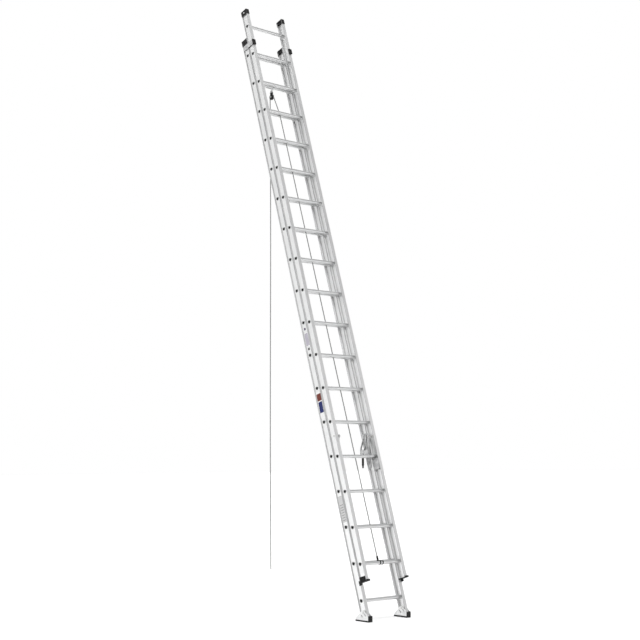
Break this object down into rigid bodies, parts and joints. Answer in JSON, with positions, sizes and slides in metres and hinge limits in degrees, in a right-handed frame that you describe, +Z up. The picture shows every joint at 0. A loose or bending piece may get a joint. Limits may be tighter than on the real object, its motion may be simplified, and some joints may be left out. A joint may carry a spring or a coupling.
{
  "type": "extension ladder",
  "caption": "Two-section aluminium extension ladder leaning at its storage height, with D-shaped rungs, spring rung locks, pulley and rope, swivel shoes and black end caps.",
  "frame": {"origin": "on the floor, midway between the two shoe bolts' plumb lines", "axes": "+X along the rungs, +Y towards the wall that the ladder leans on, +Z up"},
  "size_m": [0.4814, 1.7116, 5.5899],
  "materials": {
    "rail_aluminium": "satin mill finish with fine extrusion lines",
    "rung_aluminium": "satin, ribbed tread",
    "cast_aluminium": "sand-cast, matt",
    "rivet_aluminium": "set rivets and turned tube",
    "shoe_aluminium": "stamped, satin",
    "black_plastic": "moulded, fine grain",
    "rubber": "ribbed tread, dusty",
    "zinc_steel": "zinc plated",
    "rope": "three-strand laid rope, grey"
  },
  "bodies": {
    "base": {"base_rail_left": "rail_aluminium", "base_rail_right": "rail_aluminium", "base_rungs_1_2": "rung_aluminium", "base_rungs_3_4": "rung_aluminium", "base_rungs_5_6": "rung_aluminium", "base_rungs_7_8": "rung_aluminium", "base_rungs_9_10": "rung_aluminium", "base_rungs_11_12": "rung_aluminium", "base_rungs_13_14": "rung_aluminium", "base_rungs_15_16": "rung_aluminium", "base_rungs_17_18": "rung_aluminium", "base_rung_plugs": "black_plastic", "base_top_caps": "black_plastic", "guide_brackets": "cast_aluminium", "guide_pads": "black_plastic", "guide_rivets": "rivet_aluminium", "shoe_bolts": "zinc_steel", "pulley_hanger": "cast_aluminium", "pulley_cheeks": "black_plastic", "pulley_pins": "rivet_aluminium", "rope_bight": "rope", "rope_tail": "rope"},
    "fly": {"fly_rail_left": "rail_aluminium", "fly_rail_right": "rail_aluminium", "fly_rungs_1_2": "rung_aluminium", "fly_rungs_3_4": "rung_aluminium", "fly_rungs_5_6": "rung_aluminium", "fly_rungs_7_8": "rung_aluminium", "fly_rungs_9_10": "rung_aluminium", "fly_rungs_11_12": "rung_aluminium", "fly_rungs_13_14": "rung_aluminium", "fly_rungs_15_16": "rung_aluminium", "fly_rungs_17_18": "rung_aluminium", "fly_rung_plugs": "black_plastic", "fly_top_caps": "black_plastic", "fly_foot_guides": "black_plastic", "lock_bolts": "zinc_steel", "lock_spacers": "rivet_aluminium", "lock_springs": "zinc_steel", "lock_guards": "cast_aluminium", "rope_clamp": "black_plastic", "rope_lift": "rope"},
    "hook_left": {"hook_left": "cast_aluminium"},
    "hook_right": {"hook_right": "cast_aluminium"},
    "tongue_left": {"tongue_left": "black_plastic"},
    "tongue_right": {"tongue_right": "black_plastic"},
    "sheave": {"sheave": "black_plastic"},
    "shoe_left": {"shoe_left": "shoe_aluminium", "shoe_pad_left": "rubber"},
    "shoe_right": {"shoe_right": "shoe_aluminium", "shoe_pad_right": "rubber"}
  },
  "joints": [
    {"name": "fly_slide", "type": "slide", "parent": "base", "child": "fly", "axis": [0, 0.2924, 0.9563], "range_m": [0, 4.02336], "deforming": ["rope_lift"]},
    {"name": "hook_left_swing", "type": "hinge", "parent": "fly", "child": "hook_left", "pos_m": [-0.175, 0.34776, 1.49878], "axis": [-1, 0, 0], "range_deg": [0, 5], "stiffness_Nm_per_rad": 0.5, "springref_deg": -34.38},
    {"name": "hook_right_swing", "type": "hinge", "parent": "fly", "child": "hook_right", "pos_m": [0.175, 0.34776, 1.49878], "axis": [-1, 0, 0], "range_deg": [0, 5], "stiffness_Nm_per_rad": 0.5, "springref_deg": -34.38},
    {"name": "tongue_left_swing", "type": "hinge", "parent": "hook_left", "child": "tongue_left", "pos_m": [-0.1785, 0.42918, 1.31703], "axis": [1, 0, 0], "range_deg": [-50, 20]},
    {"name": "tongue_right_swing", "type": "hinge", "parent": "hook_right", "child": "tongue_right", "pos_m": [0.1785, 0.42918, 1.31703], "axis": [1, 0, 0], "range_deg": [-50, 20]},
    {"name": "sheave_spin", "type": "hinge", "parent": "base", "child": "sheave", "pos_m": [0, 1.46412, 4.7398], "axis": [1, 0, 0], "continuous": true},
    {"name": "shoe_left_swivel", "type": "hinge", "parent": "base", "child": "shoe_left", "pos_m": [-0.2173, 0, 0.074], "axis": [1, 0, 0], "range_deg": [-30, 60]},
    {"name": "shoe_right_swivel", "type": "hinge", "parent": "base", "child": "shoe_right", "pos_m": [0.2173, 0, 0.074], "axis": [1, 0, 0], "range_deg": [-30, 60]}
  ],
  "couplings": [
    {"joint": "sheave_spin", "follows": "fly_slide", "rad_per_m": -40.816}
  ]
}
